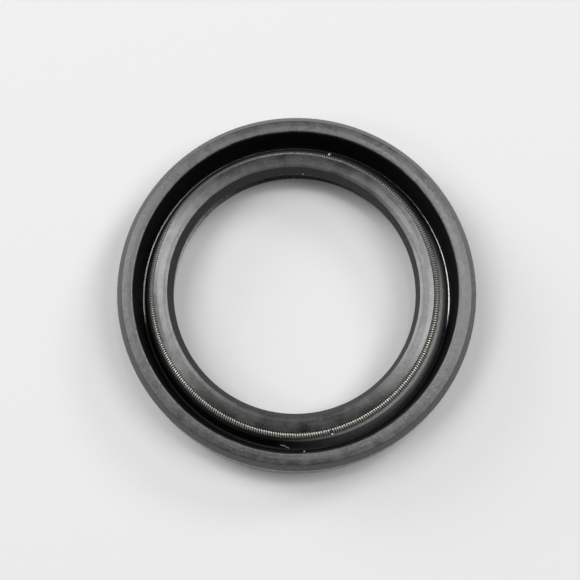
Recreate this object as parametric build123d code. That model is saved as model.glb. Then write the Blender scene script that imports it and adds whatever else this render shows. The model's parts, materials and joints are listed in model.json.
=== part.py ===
from build123d import *
import os
from math import radians, tan

# Radial shaft seal, rubber covered, with a sprung main lip and a dust lip.
# The sizes below make a 35 x 50 x 7 seal: for a 35 mm shaft and a 50 mm
# housing bore, 7 mm wide, with 0.15 mm of rubber to press into the bore.
# Millimetres. The Z axis is the shaft's axis, the air side's flat face lies on
# z = 0, and +Z points to the oil side, where the garter spring shows.
# Radii are of the free seal, before a shaft or a housing is fitted.

# Overall
shaft_diameter = 35.0
seal_width = 7.0

# Main lip: its edge, and the land left on the edge by trimming
lip_interference = 0.43  # how far the edge stands inside the shaft's radius
lip_depth = 2.15  # edge, below the oil side's face
lip_land = 0.15
air_angle = 32.0  # air side of the lip, from the shaft's axis

# Garter spring: a close coil of wire, closed into a ring
coil_diameter = 1.16
wire_diameter = 0.30
spring_offset = 2.84  # coil's centre line, outward from the lip's edge
spring_depth = 1.75  # coil's centre line, below the oil side's face
spring_clearance = 0.03

# Toe: the top of the lip's head, which rises a little to its highest line and
# then falls towards the spring
toe_setback = 0.65  # inner edge, outward from the lip's edge
toe_inner_depth = 0.44
crown_setback = 1.13  # highest line
crown_depth = 0.34
crown_blend = 1.20
brow_setback = 1.98  # where the fall starts
brow_depth = 0.42
brow_blend = 1.60
toe_overlap = 0.21  # outer edge, inward from the coil's centre line
toe_outer_depth = 0.62
toe_edge_blend = 0.07

# Membrane: a sloping shoulder beside the spring, then a steep outer
# face down to the groove's floor
shoulder_gap = 0.07  # outward from the coil
shoulder_drop = 0.35  # below the coil's centre line
shoulder_blend = 0.05
shoulder_width = 0.34
shoulder_fall = 0.17
shoulder_round = 0.30
membrane_spread = 1.09  # from the shoulder's inner edge to the face's foot
membrane_blend = 0.12
hinge_thickness = 1.35
hinge_height = 1.75
hinge_blend = 0.45
pocket_rise = 0.95  # end of the lip's air side, above the hinge
pocket_wall = 0.35

# Groove between the membrane and the case
groove_floor_width = 0.32
wall_blend = 0.03

# Steel insert: an L section with rubber on all its surfaces
insert_thickness = 0.80
insert_bend = 0.30  # inside radius of the bend
flange_reach = 2.50  # from the leg's inner surface to the flange's edge
foot_cover = 1.43  # inside the leg, at the groove's floor
mouth_cover = 0.65  # inside the leg, at the oil side
side_cover = 0.95
base_cover = 0.25
floor_cover = 0.30
top_cover = 0.75
edge_cover = 0.25

# Case: edges of the outer ring
face_fall = 0.04  # how far the oil side drops at its outer edge
face_fall_width = 0.75
face_fall_blend = 4.00
oil_chamfer_width = 0.77
oil_chamfer_length = 1.00
oil_chamfer_blend = 0.08
air_chamfer_width = 0.70
air_chamfer_length = 1.00
bead_width = 0.33  # low bead around the mouth, along the mould's parting line
bead_step = 0.06
mouth_blend = 0.24

# Dust lip, and the recess under it
dust_lip_clearance = 0.15  # radial gap to the shaft
dust_lip_land = 0.15
dust_lip_height = 0.30
recess_depth = 0.60
recess_slope = 0.40
recess_inset = 0.80  # recess's inner end, inward from the hinge

# Radii that the sizes above give, from the shaft outward
shaft_radius = shaft_diameter / 2
lip_radius = shaft_radius - lip_interference
dust_lip_radius = shaft_radius + dust_lip_clearance
spring_radius = lip_radius + spring_offset
coil_radius = coil_diameter / 2
toe_inner_radius = lip_radius + toe_setback
crown_radius = lip_radius + crown_setback
brow_radius = lip_radius + brow_setback
toe_outer_radius = spring_radius - toe_overlap
shoulder_radius = spring_radius + coil_radius + shoulder_gap
shoulder_end_radius = shoulder_radius + shoulder_width
membrane_foot_radius = shoulder_radius + membrane_spread
hinge_radius = membrane_foot_radius - hinge_thickness
wall_foot_radius = membrane_foot_radius + groove_floor_width
leg_inner_radius = wall_foot_radius + foot_cover
leg_outer_radius = leg_inner_radius + insert_thickness
flange_edge_radius = leg_inner_radius - flange_reach
case_radius = leg_outer_radius + side_cover
brim_radius = case_radius - oil_chamfer_width
mouth_radius = leg_inner_radius - mouth_cover
recess_radius = flange_edge_radius - edge_cover

# Heights that the sizes above give
lip_height = seal_width - lip_depth
spring_height = seal_width - spring_depth
shoulder_height = spring_height - shoulder_drop
shoulder_end_height = shoulder_height - shoulder_fall
pocket_height = hinge_height + pocket_rise
pocket_radius = lip_radius + (lip_height - lip_land - pocket_height) * tan(radians(air_angle))
flange_top = base_cover + insert_thickness
leg_top = seal_width - top_cover
floor_height = flange_top + floor_cover
bead_height = seal_width - bead_step


def turned(corners):
    """Turns a section about the Z axis. Each corner is its radius from the
    axis, its height, and the radius that it is rounded to."""
    points = [(radius, height) for radius, height, _ in corners]
    with BuildPart() as ring:
        with BuildSketch(Plane.XZ) as section:
            with BuildLine():
                Polyline(*points, close=True)
            make_face()
            for radius, height, blend in corners:
                if blend:
                    corner = section.vertices().sort_by_distance((radius, height))[0]
                    fillet(corner, blend)
        revolve(axis=Axis.Z)
    return ring.part


def coil_torus(centre_radius, section_radius):
    """A torus at the garter spring's height."""
    return Pos(0, 0, spring_height) * Torus(centre_radius, section_radius)


def insert_ring():
    """The pressed steel ring: an axial leg, and a flange at the air side."""
    return turned([
        (leg_outer_radius, base_cover, insert_bend + insert_thickness),
        (leg_outer_radius, leg_top, 0),
        (leg_inner_radius, leg_top, 0),
        (leg_inner_radius, flange_top, insert_bend),
        (flange_edge_radius, flange_top, 0),
        (flange_edge_radius, base_cover, 0),
    ])


def spring_ring():
    """The garter spring, as a tube with the coil's size and the wire's wall."""
    outside = coil_torus(spring_radius, coil_radius)
    return outside - coil_torus(spring_radius, coil_radius - wire_diameter)


def rubber_ring(insert):
    """The rubber moulding around the insert. Its section runs from the toe
    down the lip to the air side, out to the case and back to the toe. The
    spring's groove is a little larger than the coil, which seats on its
    inner side."""
    lip_and_membrane = [
        (toe_inner_radius, seal_width - toe_inner_depth, toe_edge_blend),
        (lip_radius, lip_height, 0),
        (lip_radius, lip_height - lip_land, 0),
        (pocket_radius, pocket_height, hinge_blend),
        (hinge_radius, hinge_height, hinge_blend),
        (hinge_radius, hinge_height - pocket_wall, 0),
    ]
    dust_lip_and_base = [
        (dust_lip_radius, dust_lip_height + dust_lip_land, 0),
        (dust_lip_radius, dust_lip_height, 0),
        (hinge_radius - recess_inset, recess_depth, 0),
        (recess_radius - recess_slope, recess_depth, 0),
        (recess_radius, 0, 0),
    ]
    case = [
        (case_radius - air_chamfer_width, 0, 0),
        (case_radius, air_chamfer_length, 0),
        (case_radius, seal_width - oil_chamfer_length, oil_chamfer_blend),
        (brim_radius, seal_width - face_fall, oil_chamfer_blend),
        (brim_radius - face_fall_width, seal_width, face_fall_blend),
        (mouth_radius + bead_width, seal_width, 0),
        (mouth_radius + bead_width, bead_height, 0),
        (mouth_radius, bead_height, mouth_blend),
    ]
    groove_and_shoulder = [
        (wall_foot_radius, floor_height, wall_blend),
        (membrane_foot_radius, floor_height, membrane_blend),
        (shoulder_end_radius, shoulder_end_height, shoulder_round),
        (shoulder_radius, shoulder_height, shoulder_blend),
        (toe_outer_radius, spring_height, 0),
    ]
    toe = [
        (toe_outer_radius, seal_width - toe_outer_depth, toe_edge_blend),
        (brow_radius, seal_width - brow_depth, brow_blend),
        (crown_radius, seal_width - crown_depth, crown_blend),
    ]
    body = turned(lip_and_membrane + dust_lip_and_base + case + groove_and_shoulder + toe)
    spring_groove = coil_torus(spring_radius + spring_clearance, coil_radius + spring_clearance)
    return body - spring_groove - insert


steel_insert = insert_ring()
parts = {
    "rubber_body": rubber_ring(steel_insert),
    "steel_insert": steel_insert,
    "garter_spring": spring_ring(),
}

os.makedirs("parts", exist_ok=True)
for name, solid in parts.items():
    export_step(solid, f"parts/{name}.step")
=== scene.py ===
# A rubber-covered radial shaft seal, dressed around its packed solids.
# Metres, +Z up along the shaft's axis, the air side's flat face on z = 0.

import json
import math
import random

import bpy
from bpy.props import FloatProperty, FloatVectorProperty, IntProperty, PointerProperty
from bpy.types import Operator, Panel, PropertyGroup
from mathutils import Matrix, Vector, noise


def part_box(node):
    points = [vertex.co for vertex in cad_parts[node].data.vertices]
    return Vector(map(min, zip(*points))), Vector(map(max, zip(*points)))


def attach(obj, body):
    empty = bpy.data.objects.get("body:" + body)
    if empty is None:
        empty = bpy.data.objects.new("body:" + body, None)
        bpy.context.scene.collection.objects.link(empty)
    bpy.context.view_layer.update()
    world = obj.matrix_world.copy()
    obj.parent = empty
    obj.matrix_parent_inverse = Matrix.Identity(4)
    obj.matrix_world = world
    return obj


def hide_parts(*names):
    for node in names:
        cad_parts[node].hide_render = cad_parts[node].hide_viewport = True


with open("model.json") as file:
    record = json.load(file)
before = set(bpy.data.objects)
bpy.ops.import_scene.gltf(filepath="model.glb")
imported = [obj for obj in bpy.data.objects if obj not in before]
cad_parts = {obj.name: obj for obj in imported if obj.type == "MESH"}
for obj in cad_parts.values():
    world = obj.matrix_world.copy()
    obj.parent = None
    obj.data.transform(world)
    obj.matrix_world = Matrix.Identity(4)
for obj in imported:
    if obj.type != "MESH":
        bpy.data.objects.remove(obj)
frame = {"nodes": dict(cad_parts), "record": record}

bl_info = {
    "name": "Radial Shaft Seal",
    "version": (1, 0, 0),
    "blender": (4, 5, 0),
    "location": "View3D > Sidebar > Seal",
    "description": "Moulds the rubber, winds the garter spring and lights a radial shaft seal",
    "category": "Mesh",
}

MM = 0.001
TURN = 2 * math.pi
RANDOM_SEED = 35

# Meshes
RING_SEGMENTS = 400
RUN_LENGTH = 0.30 * MM
SHARP_ANGLE = math.radians(38)
CORNER_STEPS = 5
SPRING_GROOVE_STEPS = 22
STEPS_PER_TURN = 20
TUBE_SIDES = 8

# Garter spring's turns: where the first starts around the coil, and how far
# each is off its place, in radians, read along a row of smooth noise
COIL_START = math.radians(12)
COIL_UNEVENNESS = 0.25
UNEVENNESS_PACE = 0.9
UNEVENNESS_ROW = (3.1, 7.7)
# Its joint: the nib of smaller turns that screws into the coil, and the cut
# end of the wire, lifted out of the coil over a part of a turn
NIB_TURNS = 6
NIB_TAPER = 0.5
NIB_CLEARANCE = 0.01 * MM
TIP_LIFT = 0.20 * MM
TIP_LIFT_TURNS = 0.25

# Specks of lint: angle in degrees, then radius, height and width in millimetres
LINT_SPECKS = (
    (86.9, 16.96, 5.20, 0.44),
    (76.8, 20.24, 5.85, 0.60),
    (-50.2, 23.35, 7.00, 0.16),
    (122.7, 23.53, 7.00, 0.16),
    (-87.6, 22.54, 6.86, 0.30),
)
# Points of a speck's bent thread, and how far they stray, as a share of its width
SPECK_BENDS = 4
SPECK_REACH = 0.35
# A fibre of lint in the groove: angle, radius and height of its bends
LINT_FIBRE = (
    (-96.3, 21.32, 3.9),
    (-96.1, 21.45, 2.7),
    (-95.6, 21.50, 2.5),
    (-94.9, 21.46, 2.7),
    (-93.9, 21.62, 2.0),
    (-92.9, 21.70, 1.7),
)
FIBRE_RADIUS = 0.08 * MM

# Side of the shoulder that carries dust, which stands in part for a lamp's light there as painted light,
# and how far out on it the dust starts and is whole
DUST_AND_LIGHT_ANGLE = math.radians(-35)
DUST_AND_LIGHT_SIDE = (8 * MM, 21 * MM)
# Where the film is gone, and where it is whole: along Y for the groove's floor,
# and on both sides of the X axis for the toe
STRIP_FILM = (-5 * MM, -1 * MM)
TOE_FILM = (22 * MM, 6 * MM)
# Where the painted shade on the spring starts, and where it is darkest, along Y, and how much of the wire
# it hides there
SPRING_SHADE_SIDE = (7 * MM, 19 * MM)
SPRING_SHADE_DEPTH = 0.75

# Lamps: name, place, diameter and watts
LAMPS = (
    ("softbox_left", (-0.45, 0.25, 0.86), 0.60, 3.6),
    ("softbox_right", (0.52, 0.08, 0.85), 0.52, 3.2),
    ("lamp_top_left", (-0.085, 0.22, 0.97), 0.12, 0.16),
    ("lamp_top_right", (0.12, 0.20, 0.97), 0.16, 0.85),
    ("lamp_front_left", (-0.62, -0.25, 0.75), 0.28, 0.8),
    ("lamp_low_right", (0.64, 0.55, 0.54), 0.30, 2.2),
    ("lamp_low_left", (-0.78, 0.48, 0.40), 0.50, 3.2),
)
WORLD_FILL = 0.10
# Nearest and farthest that the camera sees
CLIP_START = 0.01
CLIP_END = 10

# Rubber: its index of refraction and its film's, its specular level without
# the film, cut by the knife and under the film, how far its roughness swings
# with the blotches, and how much deeper its coarse grain is than its fine one
RUBBER_IOR = 1.6
FILM_IOR = 1.8
BARE_SHEEN = 0.20
TRIMMED_SHEEN = 0.25
FULL_SHEEN = 0.50
ROUGHNESS_SWING = 0.04
COARSE_GRAIN = 2.5
# Dust: its shares in blotches, in specks and evenly all over, and how much of
# it rubber keeps without its film
BLOTCH_DUST = 0.8
SPECK_DUST = 0.4
EVEN_DUST = 0.45
BARE_DUST = 0.65
# Trimming lines: phase around the axis, up it, and by the knife's wandering,
# then their dust and depth
LINES_AROUND = 520
LINES_UP = 9000
LINES_WANDER = 9
LINES_DUST = 0.06
LINES_DEPTH = 0.030 * MM
# Wire: the share of its brightness that it keeps between the turns, a painted shade, and how much of its
# look is bare metal's
PAINTED_FLANK_SHADE = 0.28
WIRE_METAL = 0.65

# Finishes, as places in the lists of materials: the rubber's, and the wire's, whose flank is a painted
# shade
GROOVE, TOE, TRIMMED, SHOULDER, FACE, STRIP, SIDE = range(7)
CREST, FLANK = range(2)

# ---------------------------------------------------------------- the frame

MOUNTS = {mount["name"]: mount for mount in frame["record"]["mounts"]}
_, RUBBER_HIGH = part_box("rubber_body")
SPRING_LOW, SPRING_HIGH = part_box("garter_spring")
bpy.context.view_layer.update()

CASE_RADIUS = RUBBER_HIGH.x
SEAL_WIDTH = RUBBER_HIGH.z
COIL_RADIUS = (SPRING_HIGH.z - SPRING_LOW.z) / 2
SPRING_HEIGHT = (SPRING_HIGH.z + SPRING_LOW.z) / 2
SPRING_RADIUS = SPRING_HIGH.x - COIL_RADIUS


def bore_edges(name):
    """Radius of a bore mount, and the heights of its lower and upper ends."""
    mount = MOUNTS[name]
    half = mount["dims"]["length_mm"] * MM / 2
    middle = mount["pos_m"][2]
    return mount["dims"]["r_mm"] * MM, middle - half, middle + half


LIP_RADIUS, LIP_LOW, LIP_HIGH = bore_edges("lip_bore")
DUST_RADIUS, DUST_LOW, DUST_HIGH = bore_edges("dust_lip_bore")


# ---------------------------------------------------------------- settings

def length(label, millimetres, description):
    """A length property, given in millimetres and held in metres."""
    return FloatProperty(
        name=label, description=description, default=millimetres * MM, unit="LENGTH", precision=5
    )


def share(label, value, description):
    """A property from 0 to 1."""
    return FloatProperty(
        name=label, description=description, default=value, min=0, max=1, subtype="FACTOR"
    )


def colour(label, value, description):
    """A colour property, in linear red, green and blue."""
    return FloatVectorProperty(
        name=label, description=description, default=value, size=3, min=0, max=1, subtype="COLOR"
    )


class SealHead(PropertyGroup):
    """Sizes of the lip's head and of the membrane that carries it."""

    toe_setback: length("Toe Setback", 0.65, "Toe's inner edge, outward from the lip's edge")
    toe_inner_depth: length("Toe Inner Depth", 0.44, "Toe's inner edge, below the oil side")
    toe_overlap: length("Toe Overlap", 0.21, "Toe's outer edge, inward from the coil's centre")
    toe_outer_depth: length("Toe Outer Depth", 0.62, "Toe's outer edge, below the oil side")
    toe_blend: length("Toe Blend", 0.07, "Rounding of the toe's two edges")
    crown_setback: length("Crown Setback", 1.13, "Toe's highest line, outward from the lip")
    crown_depth: length("Crown Depth", 0.34, "Toe's highest line, below the oil side")
    crown_blend: length("Crown Blend", 1.20, "Rounding of the toe's highest line")
    brow_setback: length("Brow Setback", 1.98, "Where the toe starts to fall, from the lip")
    brow_depth: length("Brow Depth", 0.42, "The same line, below the oil side")
    brow_blend: length("Brow Blend", 1.60, "Rounding of the same line")
    spring_clearance: length("Spring Clearance", 0.03, "Groove's section beyond the coil's")
    shoulder_gap: length("Shoulder Gap", 0.07, "Shoulder, outward from the coil")
    shoulder_drop: length("Shoulder Drop", 0.35, "Shoulder, below the coil's centre")
    shoulder_blend: length("Shoulder Blend", 0.05, "Rounding of the shoulder's inner edge")
    shoulder_width: length("Shoulder Width", 0.34, "Shoulder's inner edge to its outer corner")
    shoulder_fall: length("Shoulder Fall", 0.17, "Outer corner, below the inner edge")
    shoulder_round: length("Shoulder Round", 0.30, "Rounding of the outer corner")
    membrane_spread: length("Membrane Spread", 1.09, "Membrane's foot, outward from the shoulder")
    membrane_blend: length("Membrane Blend", 0.12, "Rounding between membrane and groove floor")
    hinge_thickness: length("Hinge Thickness", 1.35, "Rubber at the membrane's foot")
    hinge_height: length("Hinge Height", 1.75, "Membrane's foot on the shaft side")
    hinge_blend: length("Hinge Blend", 0.45, "Rounding on the shaft side of the membrane")
    pocket_rise: length("Pocket Rise", 0.95, "Lower end of the lip's air side, above the hinge")
    pocket_wall: length("Pocket Wall", 0.35, "Upright wall over the dust lip")
    air_angle: FloatProperty(
        name="Air Angle", description="Air side of the lip, from the shaft's axis",
        default=math.radians(32), subtype="ANGLE",
    )
    drift: FloatVectorProperty(
        name="Drift", description="How far the free head's toe hangs off the case's axis",
        default=(-0.420 * MM, -0.070 * MM), size=2, unit="LENGTH", precision=5,
    )
    ovality: length("Ovality", 0.06, "How far the free toe bulges out of round")
    oval_angle: FloatProperty(
        name="Oval Angle", description="Where the free toe bulges outward",
        default=math.radians(105), subtype="ANGLE",
    )


class SealCase(PropertyGroup):
    """Sizes of the groove, the outer ring and the dust lip."""

    groove_width: length("Groove Width", 0.32, "Floor of the groove, wall to membrane")
    groove_floor: length("Groove Floor", 1.35, "Height of the groove's floor")
    wall_blend: length("Wall Blend", 0.03, "Rounding between the floor and the outer wall")
    mouth_setback: length("Mouth Setback", 2.40, "Groove's mouth, inward from the outside")
    bead_width: length("Bead Width", 0.33, "Low bead around the mouth")
    bead_step: length("Bead Step", 0.06, "Bead, below the oil side")
    mouth_blend: length("Mouth Blend", 0.24, "Rounding of the mouth")
    face_fall: length("Face Fall", 0.04, "How far the oil side drops at its outer edge")
    face_fall_width: length("Face Fall Width", 0.75, "Width of the oil side's sloping edge")
    face_fall_blend: length("Face Fall Blend", 4.00, "Rounding where the slope starts")
    oil_chamfer_width: length("Oil Chamfer Width", 0.77, "Chamfer on the oil side, across")
    oil_chamfer_length: length("Oil Chamfer Length", 1.00, "Chamfer on the oil side, along")
    oil_chamfer_blend: length("Oil Chamfer Blend", 0.08, "Rounding of the oil side's chamfer")
    air_chamfer_width: length("Air Chamfer Width", 0.70, "Chamfer on the air side, across")
    air_chamfer_length: length("Air Chamfer Length", 1.00, "Chamfer on the air side, along")
    recess_depth: length("Recess Depth", 0.60, "Recess under the dust lip")
    recess_inset: length("Recess Inset", 0.80, "Recess's inner end, inward from the hinge")
    recess_radius: length("Recess Radius", 20.65, "Outer edge of the recess")
    recess_slope: length("Recess Slope", 0.40, "Sloped side of the recess")
    core_shift: FloatVectorProperty(
        name="Core Shift", description="How far the mould's core, and so the mouth, sits off the axis",
        default=(-0.130 * MM, 0.037 * MM), size=2, unit="LENGTH", precision=5,
    )
    core_edge: length("Core Edge", 0.60, "Width, beyond the bead, over which the shift fades")


class SpringCoil(PropertyGroup):
    """How the garter spring is wound."""

    turns: IntProperty(name="Turns", description="Turns of wire in the whole ring", default=380)
    wire: length("Wire", 0.30, "Diameter of the wire")
    joint_angle: FloatProperty(
        name="Joint Angle", description="Where the spring's two ends screw together",
        default=math.radians(-75.1), subtype="ANGLE",
    )
    stand_off: length("Stand Off", 0.10, "How far the spring stands off the lip beside its joint")
    stand_off_angle: FloatProperty(
        name="Stand Off Angle", description="Where it stands off most",
        default=math.radians(-89), subtype="ANGLE",
    )
    stand_off_spread: FloatProperty(
        name="Stand Off Spread", description="How far round the ring that reaches",
        default=math.radians(15), subtype="ANGLE",
    )


class SealFinish(PropertyGroup):
    """Colours and gloss of the rubber and the steel."""

    rubber: colour("Rubber", (0.007, 0.007, 0.008), "Black nitrile rubber")
    # The dust colour also paints light on one side of the shoulder
    dust: colour("Dust", (0.55, 0.56, 0.56), "Grey dust and bloom on the rubber")
    wax: share("Wax", 1.0, "How much of the moulded rubber a waxy film covers")
    groove_roughness: share("Groove Roughness", 0.55, "Roughness of the groove's two sides")
    toe_roughness: share("Toe Roughness", 0.32, "Roughness of the toe, streaked by the mould")
    face_roughness: share("Face Roughness", 0.29, "Roughness of the outer ring")
    strip_roughness: share("Strip Roughness", 0.12, "Roughness of the groove's floor")
    wire: colour("Wire", (0.58, 0.57, 0.53), "Drawn spring steel, faintly golden")
    tan: colour("Tan", (0.47, 0.45, 0.39), "Heat tint on the spring steel")
    lint: colour("Lint", (0.80, 0.80, 0.77), "Specks of lint on the rubber")
    phosphate: colour("Phosphate", (0.30, 0.30, 0.29), "Phosphated mild steel")


class SealStage(PropertyGroup):
    """Floor, lamps and camera."""

    floor: colour("Floor", (0.82, 0.82, 0.82), "Plain pale floor")
    floor_size: FloatProperty(
        name="Floor Size", description="Side of the floor", default=3, unit="LENGTH"
    )
    lens: FloatProperty(
        name="Lens", description="Focal length, in millimetres", default=89.044, subtype="DISTANCE_CAMERA"
    )
    sensor: FloatProperty(
        name="Sensor", description="Width of the sensor, in millimetres", default=36,
        subtype="DISTANCE_CAMERA",
    )
    camera_place: FloatVectorProperty(
        name="Camera", description="Where the camera stands",
        default=(-1.853 * MM, -35.735 * MM, 203.759 * MM), unit="LENGTH", precision=5,
    )
    camera_pitch: FloatProperty(
        name="Camera Pitch", description="Tilt from straight down, about X",
        default=math.radians(10.270), subtype="ANGLE",
    )
    camera_yaw: FloatProperty(
        name="Camera Yaw", description="Tilt about the camera's own Y",
        default=math.radians(-0.259), subtype="ANGLE",
    )


# ---------------------------------------------------------------- outlines

def arc(centre, radius, first, last, steps):
    """Points along an arc, from the first angle to the last."""
    angles = [first + (last - first) * step / steps for step in range(steps + 1)]
    return [centre + radius * Vector((math.cos(angle), math.sin(angle))) for angle in angles]


def rounded(corners):
    """A closed outline with its corners rounded. Each corner is a point, and
    the radius that it is rounded to."""
    points = []
    for index, (here, blend) in enumerate(corners):
        if not blend:
            points.append(here)
            continue
        back = (corners[index - 1][0] - here).normalized()
        on = (corners[(index + 1) % len(corners)][0] - here).normalized()
        half = back.angle(on) / 2
        centre = here + (back + on).normalized() * blend / math.sin(half)
        start = here + back * blend / math.tan(half) - centre
        end = here + on * blend / math.tan(half) - centre
        first = math.atan2(start.y, start.x)
        sweep = math.atan2(start.cross(end), start.dot(end))
        points += arc(centre, blend, first, first + sweep, CORNER_STEPS)
    return points


def divided(points, longest):
    """The same closed outline, with its long runs cut into short ones."""
    cut = []
    for here, there in zip(points, points[1:] + points[:1]):
        pieces = max(1, math.ceil((there - here).length / longest))
        cut += [here.lerp(there, piece / pieces) for piece in range(pieces)]
    return cut


class Section:
    """Radii and heights of the rubber's section, from the settings."""

    def __init__(self, head, case):
        self.toe_outer = SPRING_RADIUS - head.toe_overlap
        self.shoulder = SPRING_RADIUS + COIL_RADIUS + head.shoulder_gap
        self.shoulder_height = SPRING_HEIGHT - head.shoulder_drop
        self.shelf = self.shoulder + head.shoulder_width
        self.shelf_height = self.shoulder_height - head.shoulder_fall
        self.membrane_foot = self.shoulder + head.membrane_spread
        self.hinge = self.membrane_foot - head.hinge_thickness
        self.pocket_height = head.hinge_height + head.pocket_rise
        self.pocket = LIP_RADIUS + (LIP_LOW - self.pocket_height) * math.tan(head.air_angle)
        self.wall_foot = self.membrane_foot + case.groove_width
        self.mouth = CASE_RADIUS - case.mouth_setback
        self.bead_height = SEAL_WIDTH - case.bead_step


def spring_groove(head, section):
    """Points around the spring's groove, from the shoulder to the toe."""
    centre = Vector((SPRING_RADIUS + head.spring_clearance, SPRING_HEIGHT))
    radius = COIL_RADIUS + head.spring_clearance
    shoulder = Vector((section.shoulder, section.shoulder_height))
    inward = (Vector((section.toe_outer, SPRING_HEIGHT)) - shoulder).normalized()
    nearest = (centre - shoulder).dot(inward)
    miss = (centre - shoulder).cross(inward)
    meeting = shoulder + inward * (nearest - math.sqrt(radius**2 - miss**2)) - centre
    first = math.atan2(meeting.y, meeting.x)
    last = math.acos((section.toe_outer - centre.x) / radius) - TURN
    return arc(centre, radius, first, last, SPRING_GROOVE_STEPS)


def rubber_outline(head, case):
    """The rubber's section, from the toe's inner edge down the lip, under the
    case and back over it to the toe's crown."""
    section = Section(head, case)
    toe_inner = LIP_RADIUS + head.toe_setback
    brim = CASE_RADIUS - case.oil_chamfer_width
    corners = [
        (toe_inner, SEAL_WIDTH - head.toe_inner_depth, head.toe_blend),
        (LIP_RADIUS, LIP_HIGH, 0),
        (LIP_RADIUS, LIP_LOW, 0),
        (section.pocket, section.pocket_height, head.hinge_blend),
        (section.hinge, head.hinge_height, head.hinge_blend),
        (section.hinge, head.hinge_height - head.pocket_wall, 0),
        (DUST_RADIUS, DUST_HIGH, 0),
        (DUST_RADIUS, DUST_LOW, 0),
        (section.hinge - case.recess_inset, case.recess_depth, 0),
        (case.recess_radius - case.recess_slope, case.recess_depth, 0),
        (case.recess_radius, 0, 0),
        (CASE_RADIUS - case.air_chamfer_width, 0, 0),
        (CASE_RADIUS, case.air_chamfer_length, 0),
        (CASE_RADIUS, SEAL_WIDTH - case.oil_chamfer_length, case.oil_chamfer_blend),
        (brim, SEAL_WIDTH - case.face_fall, case.oil_chamfer_blend),
        (brim - case.face_fall_width, SEAL_WIDTH, case.face_fall_blend),
        (section.mouth + case.bead_width, SEAL_WIDTH, 0),
        (section.mouth + case.bead_width, section.bead_height, 0),
        (section.mouth, section.bead_height, case.mouth_blend),
        (section.wall_foot, case.groove_floor, case.wall_blend),
        (section.membrane_foot, case.groove_floor, head.membrane_blend),
        (section.shelf, section.shelf_height, head.shoulder_round),
        (section.shoulder, section.shoulder_height, head.shoulder_blend),
    ]
    corners += [(point.x, point.y, 0) for point in spring_groove(head, section)]
    corners += [
        (section.toe_outer, SEAL_WIDTH - head.toe_outer_depth, head.toe_blend),
        (LIP_RADIUS + head.brow_setback, SEAL_WIDTH - head.brow_depth, head.brow_blend),
        (LIP_RADIUS + head.crown_setback, SEAL_WIDTH - head.crown_depth, head.crown_blend),
    ]
    outline = [(Vector((radius, height)), blend) for radius, height, blend in corners]
    return divided(rounded(outline), longest=RUN_LENGTH)


# ---------------------------------------------------------------- meshes

def fade(value, start, end):
    """0 up to the start, 1 from the end on, and a smooth rise between."""
    rise = min(1.0, max(0.0, (value - start) / (end - start)))
    return rise * rise * (3 - 2 * rise)


class Lean:
    """Where a point of the section goes as the ring is turned. The free head
    hangs a little to one side, so at each angle the lip rolls about its
    hinge. The mould's core, and so the groove and its mouth, is off too."""

    def __init__(self, head, case):
        section = Section(head, case)
        self.drift = Vector(head.drift)
        self.ovality = head.ovality
        self.oval_angle = head.oval_angle
        self.core_shift = Vector(case.core_shift)
        self.hinge = Vector((section.hinge, head.hinge_height))
        self.foot = section.membrane_foot
        self.shoulder_height = section.shoulder_height
        self.bead_height = section.bead_height
        self.bead_end = section.mouth + case.bead_width
        self.core_end = self.bead_end + case.core_edge
        self.lever = SEAL_WIDTH - head.toe_inner_depth - head.hinge_height

    def place(self, point, angle):
        """The point's place in the ring, from its radius and height."""
        outward = Vector((math.cos(angle), math.sin(angle)))
        sideways = Vector((-outward.y, outward.x))
        if point.x > self.foot:
            flat = outward * point.x
            core_share = fade(point.y, self.hinge.y, self.bead_height)
            core_share *= 1 - fade(point.x, self.bead_end, self.core_end)
            return (*(flat + self.core_shift * core_share), point.y)
        head_share = fade(point.y, self.hinge.y, self.shoulder_height)
        bulge = self.ovality * math.cos(2 * (angle - self.oval_angle))
        roll = head_share * (self.drift.dot(outward) + bulge) / self.lever
        rolled = self.hinge + Matrix.Rotation(-roll, 2) @ (point - self.hinge)
        flat = outward * rolled.x + sideways * head_share * self.drift.dot(sideways)
        return (*flat, rolled.y)


def piece_from(name, points, faces, materials):
    """A smooth-shaded mesh object that rides on the seal."""
    mesh = bpy.data.meshes.new(name)
    mesh.from_pydata(points, [], faces)
    for material in materials:
        mesh.materials.append(material)
    mesh.shade_smooth()
    mesh.set_sharp_from_angle(angle=SHARP_ANGLE)
    piece = bpy.data.objects.new(name, mesh)
    bpy.context.scene.collection.objects.link(piece)
    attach(piece, "root")
    return piece


def turned_mesh(outline, place, finish_of):
    """Points, faces and each face's finish for a section turned about the
    axis. The outline runs anticlockwise, so the faces look outward."""
    count = len(outline)
    points = [
        place(point, TURN * segment / RING_SEGMENTS)
        for segment in range(RING_SEGMENTS) for point in outline
    ]
    finishes = [
        finish_of((outline[index] + outline[(index + 1) % count]) / 2) for index in range(count)
    ]
    faces = []
    for segment in range(RING_SEGMENTS):
        here = segment * count
        there = (segment + 1) % RING_SEGMENTS * count
        for index in range(count):
            on = (index + 1) % count
            faces.append((here + index, there + index, there + on, here + on))
    return points, faces, finishes * RING_SEGMENTS


def tube_mesh(path, directions, radius):
    """Points and faces of a round tube along a path, closed at both ends.
    Each direction points from the path towards the tube's first corner."""
    points = []
    for index, (here, outward) in enumerate(zip(path, directions)):
        before = path[max(0, index - 1)]
        after = path[min(len(path) - 1, index + 1)]
        across = (after - before).normalized().cross(outward)
        for side in range(TUBE_SIDES):
            angle = TURN * side / TUBE_SIDES
            spoke = outward * math.cos(angle) + across * math.sin(angle)
            points.append(here + spoke * radius)
    faces = []
    for index in range(len(path) - 1):
        here = index * TUBE_SIDES
        there = here + TUBE_SIDES
        for side in range(TUBE_SIDES):
            on = (side + 1) % TUBE_SIDES
            faces.append((here + side, here + on, there + on, there + side))
    last = (len(path) - 1) * TUBE_SIDES
    faces.append(tuple(reversed(range(TUBE_SIDES))))
    faces.append(tuple(range(last, last + TUBE_SIDES)))
    return points, faces


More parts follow.
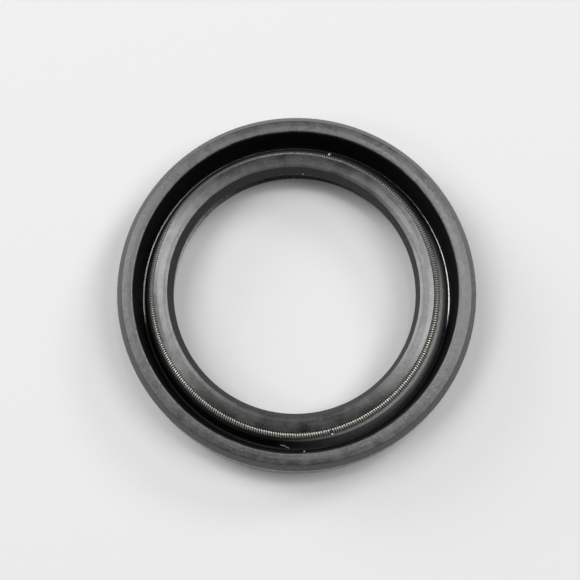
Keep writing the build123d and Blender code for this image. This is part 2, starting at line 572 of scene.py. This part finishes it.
def coil_path(coil, lean):
    """The wire's path around the ring, and at each of its points the way out
    of the coil. It starts at the lifted tip and ends in the nib."""
    wound = COIL_RADIUS - coil.wire / 2
    nib = wound - coil.wire - NIB_CLEARANCE
    path = []
    outwards = []
    for step in range((coil.turns + NIB_TURNS) * STEPS_PER_TURN + 1):
        turn = step / STEPS_PER_TURN
        winding = wound
        if turn < TIP_LIFT_TURNS:
            winding = wound + TIP_LIFT * (1 - turn / TIP_LIFT_TURNS)
        if turn > coil.turns - NIB_TAPER:
            winding = max(nib, wound - (wound - nib) * (turn - coil.turns + NIB_TAPER) / NIB_TAPER)
        unevenness = COIL_UNEVENNESS * noise.noise((turn * UNEVENNESS_PACE, *UNEVENNESS_ROW))
        phase = COIL_START - TURN * turn + unevenness
        angle = coil.joint_angle + TURN * turn / coil.turns
        from_axis = Vector((math.cos(angle), math.sin(angle), 0))
        outward = from_axis * math.cos(phase) + Vector((0, 0, math.sin(phase)))
        away = math.remainder(angle - coil.stand_off_angle, TURN) / coil.stand_off_spread
        ring = SPRING_RADIUS + coil.stand_off * math.exp(-away * away)
        centre = Vector(lean.place(Vector((ring, SPRING_HEIGHT)), angle))
        path.append(centre + outward * winding)
        outwards.append(outward)
    return path, outwards


# ---------------------------------------------------------------- materials

class Bench:
    """A new material, and short calls that add nodes to it."""

    def __init__(self, name):
        self.material = bpy.data.materials.new(name)
        self.material.use_nodes = True
        self.tree = self.material.node_tree
        self.shader = self.tree.nodes["Principled BSDF"]
        self.object_point = self.add("ShaderNodeTexCoord").outputs["Object"]

    def add(self, kind, inputs=None, **settings):
        """Adds a node, sets its properties, and sets or links its inputs."""
        node = self.tree.nodes.new(kind)
        for name, value in settings.items():
            setattr(node, name, value)
        for name, value in (inputs or {}).items():
            self.feed(node.inputs[name], value)
        return node

    def feed(self, socket, value):
        """Links a socket to another, or sets its value."""
        if isinstance(value, bpy.types.NodeSocket):
            self.tree.links.new(value, socket)
        else:
            socket.default_value = value

    def wax_coat(self, weight, roughness):
        """The waxy film that rubber sweats out, which keeps it shiny."""
        self.shader.inputs["IOR"].default_value = RUBBER_IOR
        self.shader.inputs["Coat Weight"].default_value = weight
        self.shader.inputs["Coat Roughness"].default_value = roughness
        self.shader.inputs["Coat IOR"].default_value = FILM_IOR

    def along(self, axis):
        """How far along X, Y or Z a point of the object lies."""
        parts = self.add("ShaderNodeSeparateXYZ", {"Vector": self.object_point})
        return parts.outputs[axis]

    def toward(self, angle):
        """How far out a point lies towards an angle around the Z axis."""
        along_x = self.calc("MULTIPLY", self.along("X"), math.cos(angle))
        along_y = self.calc("MULTIPLY", self.along("Y"), math.sin(angle))
        return self.calc("ADD", along_x, along_y)

    def calc(self, operation, *values):
        """The result of one math node."""
        node = self.add("ShaderNodeMath", operation=operation)
        for socket, value in zip(node.inputs, values):
            self.feed(socket, value)
        return node.outputs["Value"]

    def noise(self, scale, detail=2.0, roughness=0.5, point=None):
        """A noise from 0 to 1, by default at the object's own points."""
        vector = point or self.object_point
        node = self.add(
            "ShaderNodeTexNoise",
            {"Vector": vector, "Scale": scale, "Detail": detail, "Roughness": roughness},
        )
        return node.outputs["Fac"]

    def ramp(self, value, low, high, to_low=0.0, to_high=1.0):
        """Maps a value smoothly from one range to another, and holds it there."""
        node = self.add(
            "ShaderNodeMapRange",
            {"Value": value, "From Min": low, "From Max": high, "To Min": to_low, "To Max": to_high},
            interpolation_type="SMOOTHSTEP",
        )
        return node.outputs["Result"]

    def mix(self, factor, first, second):
        """A colour between two colours."""
        node = self.add("ShaderNodeMix", data_type="RGBA")
        self.feed(node.inputs["Factor"], factor)
        self.feed(node.inputs["A"], first)
        self.feed(node.inputs["B"], second)
        return node.outputs["Result"]

    def bump(self, height, distance, under=None):
        """A bump, over another one where one is given."""
        inputs = {"Height": height, "Distance": distance, "Strength": 1.0}
        if under:
            inputs["Normal"] = under
        return self.add("ShaderNodeBump", inputs).outputs["Normal"]

    def ring_point(self, around, across):
        """A point for streaks that follow the ring: it changes by the first
        scale around the axis, and by the second across it."""
        x, y, z = (self.along(axis) for axis in "XYZ")
        squares = self.calc("ADD", self.calc("MULTIPLY", x, x), self.calc("MULTIPLY", y, y))
        radius = self.calc("SQRT", squares)
        inputs = {
            "X": self.calc("MULTIPLY", self.calc("DIVIDE", x, radius), around),
            "Y": self.calc("MULTIPLY", self.calc("DIVIDE", y, radius), around),
            "Z": self.calc("MULTIPLY", self.calc("ADD", radius, z), across),
        }
        return self.add("ShaderNodeCombineXYZ", inputs).outputs["Vector"]


def opaque(rgb):
    """A colour with full alpha."""
    return (*rgb, 1.0)


def darkened(rgb, kept):
    """The same, with a share of its brightness kept."""
    return opaque([kept * channel for channel in rgb])


def dust_and_painted_light(bench):
    """Share of dust on the shoulder, all on one side, where it is painted light as well as dust."""
    return bench.ramp(bench.toward(DUST_AND_LIGHT_ANGLE), *DUST_AND_LIGHT_SIDE)


def strip_film(bench):
    """Share of film on the groove's floor: it is whole on the +Y side."""
    return bench.ramp(bench.along("Y"), *STRIP_FILM)


def toe_film(bench):
    """Share of film on the toe: it thins towards both ends of the Y axis."""
    return bench.ramp(bench.calc("ABSOLUTE", bench.along("Y")), *TOE_FILM)


def dusty_tone(bench, finish, blotches, dust, part, film):
    """Black rubber under its dust, which lies in blotches, or evenly over the part that is given, where
    it is also painted light, and thinner where the film is gone."""
    if not dust:
        return opaque(finish.rubber)
    specks = bench.ramp(bench.noise(scale=5200), low=0.45, high=0.80)
    specks = bench.calc("MULTIPLY", specks, SPECK_DUST)
    if part:
        cover = bench.calc("MULTIPLY", bench.calc("ADD", specks, EVEN_DUST), part)
    else:
        cover = bench.calc("ADD", bench.calc("MULTIPLY", blotches, BLOTCH_DUST), specks)
    if film:
        cover = bench.calc("MULTIPLY", cover, bench.ramp(film, 0, 1, BARE_DUST, 1.0))
    return bench.mix(bench.calc("MULTIPLY", cover, dust), opaque(finish.rubber), opaque(finish.dust))


def rubber_material(name, finish, roughness, grain, dust=0.0, wax=0.0, dust_and_light_over=None, film_over=None):
    """Moulded rubber: soft blotches, a grain of the given depth, faint streaks that follow the ring,
    dust, and a waxy film. Functions may say over which part the dust or the film lies; the dust's part,
    on the shoulder, is also painted light.
    part the dust or the film lies."""
    bench = Bench(name)
    part = dust_and_light_over and dust_and_light_over(bench)
    film = film_over and film_over(bench)
    blotches = bench.ramp(bench.noise(scale=420, detail=5, roughness=0.6), low=0.30, high=0.72)
    tone = dusty_tone(bench, finish, blotches, dust, part, film)
    around_ring = bench.ring_point(around=9, across=5200)
    streaks = bench.noise(scale=1.0, detail=4, roughness=0.6, point=around_ring)
    matt = bench.ramp(blotches, 0, 1, roughness - ROUGHNESS_SWING, roughness + ROUGHNESS_SWING)
    relief = bench.bump(bench.noise(scale=6500, detail=3), grain)
    relief = bench.bump(bench.noise(scale=1500, detail=4), COARSE_GRAIN * grain, under=relief)
    relief = bench.bump(streaks, grain, under=relief)
    bench.feed(bench.shader.inputs["Base Color"], tone)
    bench.feed(bench.shader.inputs["Roughness"], matt)
    bench.feed(bench.shader.inputs["Normal"], relief)
    bench.feed(bench.shader.inputs["Coat Normal"], relief)
    bench.wax_coat(wax * finish.wax, roughness)
    bench.shader.inputs["Specular IOR Level"].default_value = FULL_SHEEN if wax else BARE_SHEEN
    if film:
        sheen = bench.ramp(film, 0, 1, BARE_SHEEN, FULL_SHEEN)
        bare_to_film = bench.ramp(film, 0, 1, finish.groove_roughness, roughness)
        bench.feed(bench.shader.inputs["Specular IOR Level"], sheen)
        bench.feed(bench.shader.inputs["Coat Weight"], bench.calc("MULTIPLY", film, wax * finish.wax))
        bench.feed(bench.shader.inputs["Roughness"], bare_to_film)
    return bench.material


def trimmed_material(finish):
    """Rubber cut by the trimming knife: fine slanting lines on the lip."""
    bench = Bench("rubber_trimmed")
    angle = bench.calc("ARCTAN2", bench.along("Y"), bench.along("X"))
    turn = bench.calc("MULTIPLY", angle, LINES_AROUND)
    climb = bench.calc("MULTIPLY", bench.along("Z"), LINES_UP)
    wander = bench.calc("MULTIPLY", bench.noise(scale=600), LINES_WANDER)
    phase = bench.calc("ADD", bench.calc("ADD", turn, climb), wander)
    lines = bench.calc("MULTIPLY", bench.calc("ADD", bench.calc("SINE", phase), 1.0), 0.5)
    cover = bench.calc("MULTIPLY", lines, LINES_DUST)
    tone = bench.mix(cover, opaque(finish.rubber), opaque(finish.dust))
    matt = bench.ramp(bench.noise(scale=2500), low=0.2, high=0.8, to_low=0.48, to_high=0.60)
    bench.feed(bench.shader.inputs["Base Color"], tone)
    bench.feed(bench.shader.inputs["Roughness"], matt)
    bench.shader.inputs["Specular IOR Level"].default_value = TRIMMED_SHEEN
    bench.feed(bench.shader.inputs["Normal"], bench.bump(lines, LINES_DEPTH))
    return bench.material


def rubber_finishes(finish):
    """The rubber's materials, in the order of GROOVE to SIDE."""
    return [
        rubber_material("rubber_groove", finish, finish.groove_roughness, grain=0.010 * MM),
        rubber_material(
            "rubber_toe", finish, finish.toe_roughness, grain=0.010 * MM,
            dust=0.18, wax=0.9, film_over=toe_film,
        ),
        trimmed_material(finish),
        # The shoulder's dust lies on one side only, partly as painted light
        rubber_material(
            "rubber_shoulder", finish, finish.groove_roughness, grain=0.015 * MM,
            dust=1.0, dust_and_light_over=dust_and_painted_light,
        ),
        rubber_material(
            "rubber_face", finish, finish.face_roughness, grain=0.009 * MM, dust=0.09, wax=0.45
        ),
        rubber_material(
            "rubber_strip", finish, finish.strip_roughness, grain=0.001 * MM,
            wax=1.0, film_over=strip_film,
        ),
        rubber_material(
            "rubber_side", finish, finish.face_roughness, grain=0.012 * MM, dust=0.03, wax=0.4
        ),
    ]


def wire_material(name, finish, shade):
    """Drawn spring wire, with a fine grain and a faint tan. The shade is how much of its brightness is
    left, a painted shade; a painted shade darkens it further towards +Y."""
    bench = Bench(name)
    patches = bench.noise(scale=1400, detail=3)
    tan = bench.ramp(patches, low=0.35, high=0.7)
    wire_tone = bench.mix(tan, darkened(finish.wire, shade), darkened(finish.tan, shade))
    # Painted shade: towards +Y the wire is blended into the rubber's black
    oil = bench.ramp(bench.along("Y"), *SPRING_SHADE_SIDE, to_high=SPRING_SHADE_DEPTH)
    matt = bench.ramp(patches, low=0.2, high=0.8, to_low=0.26, to_high=0.36)
    bench.feed(bench.shader.inputs["Base Color"], bench.mix(oil, wire_tone, opaque(finish.rubber)))
    bench.shader.inputs["Metallic"].default_value = WIRE_METAL
    bench.feed(bench.shader.inputs["Roughness"], matt)
    bench.feed(bench.shader.inputs["Normal"], bench.bump(bench.noise(scale=16000), 0.002 * MM))
    return bench.material


def insert_material(finish):
    """Phosphated steel under the rubber: matt grey, with fine crystals."""
    bench = Bench("phosphated_steel")
    crystals = bench.add("ShaderNodeTexVoronoi", {"Vector": bench.object_point, "Scale": 9000.0})
    patches = bench.noise(scale=300, detail=4)
    dark = darkened(finish.phosphate, 0.55)
    tone = bench.mix(bench.ramp(patches, low=0.3, high=0.7), opaque(finish.phosphate), dark)
    matt = bench.ramp(patches, low=0.2, high=0.8, to_low=0.55, to_high=0.7)
    bench.feed(bench.shader.inputs["Base Color"], tone)
    bench.shader.inputs["Metallic"].default_value = 0.6
    bench.feed(bench.shader.inputs["Roughness"], matt)
    bench.feed(bench.shader.inputs["Normal"], bench.bump(crystals.outputs["Distance"], 0.004 * MM))
    return bench.material


def lint_material(finish):
    """Pale lint, a little uneven."""
    bench = Bench("lint")
    tone = bench.mix(bench.noise(scale=9000), opaque(finish.lint), darkened(finish.lint, 0.5))
    bench.feed(bench.shader.inputs["Base Color"], tone)
    bench.shader.inputs["Roughness"].default_value = 0.8
    return bench.material


def floor_material(stage):
    """A pale painted board with a barely seen tooth."""
    bench = Bench("pale_board")
    tone = bench.mix(bench.noise(scale=900), opaque(stage.floor), darkened(stage.floor, 0.985))
    bench.feed(bench.shader.inputs["Base Color"], tone)
    bench.shader.inputs["Roughness"].default_value = 0.8
    bench.shader.inputs["Specular IOR Level"].default_value = 0.2
    return bench.material


# ---------------------------------------------------------------- operators

class SEAL_OT_rubber_body(Operator):
    """Turn the rubber moulding around the insert"""

    bl_idname = "seal.rubber_body"
    bl_label = "Rubber Body"

    def execute(self, context):
        head = context.scene.seal_head
        case = context.scene.seal_case
        section = Section(head, case)
        toe_inner = LIP_RADIUS + head.toe_setback
        toe_foot = SEAL_WIDTH - head.toe_outer_depth - head.toe_blend
        face_low = section.bead_height - case.mouth_blend

        def finish_of(point):
            """Where the point lies, as a place in the list of materials."""
            if point.x < toe_inner and point.y > LIP_LOW:
                return TRIMMED
            if point.x < SPRING_RADIUS and point.y > toe_foot:
                return TOE
            if point.y < case.groove_floor or point.x > CASE_RADIUS - case.oil_chamfer_width:
                return SIDE
            if point.x > section.mouth + case.bead_width:
                return FACE
            if point.x > section.wall_foot:
                return GROOVE if point.y < face_low else FACE
            if point.x > section.membrane_foot:
                return STRIP
            return SHOULDER if point.x > section.hinge else SIDE

        outline = rubber_outline(head, case)
        points, faces, finishes = turned_mesh(outline, Lean(head, case).place, finish_of)
        materials = rubber_finishes(context.scene.seal_finish)
        body = piece_from("rubber_body_moulded", points, faces, materials)
        body.data.polygons.foreach_set("material_index", finishes)
        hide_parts("rubber_body")
        return {"FINISHED"}


class SEAL_OT_garter_spring(Operator):
    """Wind the garter spring and screw its ends together"""

    bl_idname = "seal.garter_spring"
    bl_label = "Garter Spring"

    def execute(self, context):
        coil = context.scene.seal_spring
        finish = context.scene.seal_finish
        lean = Lean(context.scene.seal_head, context.scene.seal_case)
        path, outwards = coil_path(coil, lean)
        points, faces = tube_mesh(path, outwards, coil.wire / 2)
        # The flank is a darker copy of the crest's wire, a painted shade between the turns
        materials = [
            wire_material("spring_crest", finish, 1.0),
            wire_material("spring_flank_painted_shade", finish, PAINTED_FLANK_SHADE),
        ]
        spring = piece_from("garter_spring_coil", points, faces, materials)
        # The faces on either side of the tube's first corner are the crest; the rest take the flank's
        # painted shade
        around = [CREST if side in (0, TUBE_SIDES - 1) else FLANK for side in range(TUBE_SIDES)]
        spring.data.polygons.foreach_set("material_index", around * (len(path) - 1) + [CREST, FLANK])
        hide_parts("garter_spring")
        return {"FINISHED"}


class SEAL_OT_steel_insert(Operator):
    """Finish the pressed steel ring inside the rubber"""

    bl_idname = "seal.steel_insert"
    bl_label = "Steel Insert"

    def execute(self, context):
        insert = frame["nodes"]["steel_insert"]
        material = insert_material(context.scene.seal_finish)
        insert.data.materials.clear()
        insert.data.materials.append(material)
        return {"FINISHED"}


class SEAL_OT_lint(Operator):
    """Drop a few specks and one fibre of lint on the rubber"""

    bl_idname = "seal.lint"
    bl_label = "Lint"

    def execute(self, context):
        chance = random.Random(RANDOM_SEED)
        material = lint_material(context.scene.seal_finish)
        for index, (angle, radius, height, width) in enumerate(LINT_SPECKS):
            middle = self.place(angle, radius, height)
            reach = SPECK_REACH * width * MM
            path = [
                middle + Vector((chance.uniform(-reach, reach), chance.uniform(-reach, reach), 0))
                for _ in range(SPECK_BENDS)
            ]
            self.lay(f"lint_speck_{index}", path, reach / 2, material)
        self.lay("lint_fibre", [self.place(*bend) for bend in LINT_FIBRE], FIBRE_RADIUS, material)
        return {"FINISHED"}

    def place(self, degrees, radius, height):
        """A point from its angle, and its radius and height in millimetres."""
        angle = math.radians(degrees)
        return Vector((radius * math.cos(angle), radius * math.sin(angle), height)) * MM

    def lay(self, name, path, radius, material):
        """One piece of lint along a path."""
        points, faces = tube_mesh(path, [Vector((0, 0, 1))] * len(path), radius)
        piece_from(name, points, faces, [material])


class SEAL_OT_stage(Operator):
    """Lay the pale floor, and set the camera, lamps and world"""

    bl_idname = "seal.stage"
    bl_label = "Stage"

    def execute(self, context):
        stage = context.scene.seal_stage
        self.lay_floor(context.scene, stage)
        self.set_camera(context.scene, stage)
        self.hang_lamps(context.scene)
        self.paint_world(context.scene)
        context.scene.view_settings.view_transform = "Standard"
        return {"FINISHED"}

    def lay_floor(self, scene, stage):
        """A flat board under the seal."""
        half = stage.floor_size / 2
        corners = [(-half, -half, 0), (half, -half, 0), (half, half, 0), (-half, half, 0)]
        mesh = bpy.data.meshes.new("floor")
        mesh.from_pydata(corners, [], [(0, 1, 2, 3)])
        mesh.materials.append(floor_material(stage))
        floor = bpy.data.objects.new("floor", mesh)
        scene.collection.objects.link(floor)

    def set_camera(self, scene, stage):
        """A long lens, a little short of straight above."""
        lens = bpy.data.cameras.new("camera")
        lens.lens = stage.lens
        lens.sensor_width = stage.sensor
        lens.clip_start = CLIP_START
        lens.clip_end = CLIP_END
        camera = bpy.data.objects.new("camera", lens)
        scene.collection.objects.link(camera)
        camera.matrix_world = (
            Matrix.Translation(stage.camera_place)
            @ Matrix.Rotation(stage.camera_pitch, 4, "X")
            @ Matrix.Rotation(stage.camera_yaw, 4, "Y")
        )
        scene.camera = camera

    def hang_lamps(self, scene):
        """Soft lamps overhead, each turned to the seal."""
        for name, place, size, watts in LAMPS:
            light = bpy.data.lights.new(name, "AREA")
            light.shape = "DISK"
            light.size = size
            light.energy = watts
            lamp = bpy.data.objects.new(name, light)
            scene.collection.objects.link(lamp)
            lamp.location = place
            lamp.rotation_euler = Vector(place).to_track_quat("Z", "Y").to_euler()
            lamp.visible_camera = False

    def paint_world(self, scene):
        """A dim, even surround."""
        world = bpy.data.worlds.new("surround")
        world.use_nodes = True
        background = world.node_tree.nodes["Background"]
        background.inputs["Color"].default_value = opaque((1, 1, 1))
        background.inputs["Strength"].default_value = WORLD_FILL
        scene.world = world


class SEAL_PT_seal(Panel):
    """Lists the seal's settings and the operators that build it"""

    bl_idname = "SEAL_PT_seal"
    bl_label = "Radial Shaft Seal"
    bl_space_type = "VIEW_3D"
    bl_region_type = "UI"
    bl_category = "Seal"

    def draw(self, context):
        for name, group in SETTINGS.items():
            box = self.layout.box()
            box.label(text=group.__doc__)
            for setting in group.__annotations__:
                box.prop(getattr(context.scene, name), setting)
        for operator in OPERATORS:
            self.layout.operator(operator.bl_idname)


SETTINGS = {
    "seal_head": SealHead,
    "seal_case": SealCase,
    "seal_spring": SpringCoil,
    "seal_finish": SealFinish,
    "seal_stage": SealStage,
}
OPERATORS = (
    SEAL_OT_stage, SEAL_OT_rubber_body, SEAL_OT_garter_spring, SEAL_OT_steel_insert, SEAL_OT_lint,
)
CLASSES = (*SETTINGS.values(), *OPERATORS, SEAL_PT_seal)


def register():
    for each in CLASSES:
        bpy.utils.register_class(each)
    for name, group in SETTINGS.items():
        setattr(bpy.types.Scene, name, PointerProperty(type=group))


def unregister():
    for name in SETTINGS:
        delattr(bpy.types.Scene, name)
    for each in reversed(CLASSES):
        bpy.utils.unregister_class(each)


def main():
    """Builds the seal and its stage."""
    register()
    bpy.ops.seal.stage()
    bpy.ops.seal.rubber_body()
    bpy.ops.seal.garter_spring()
    bpy.ops.seal.steel_insert()
    bpy.ops.seal.lint()


if __name__ == "__main__":
    main()
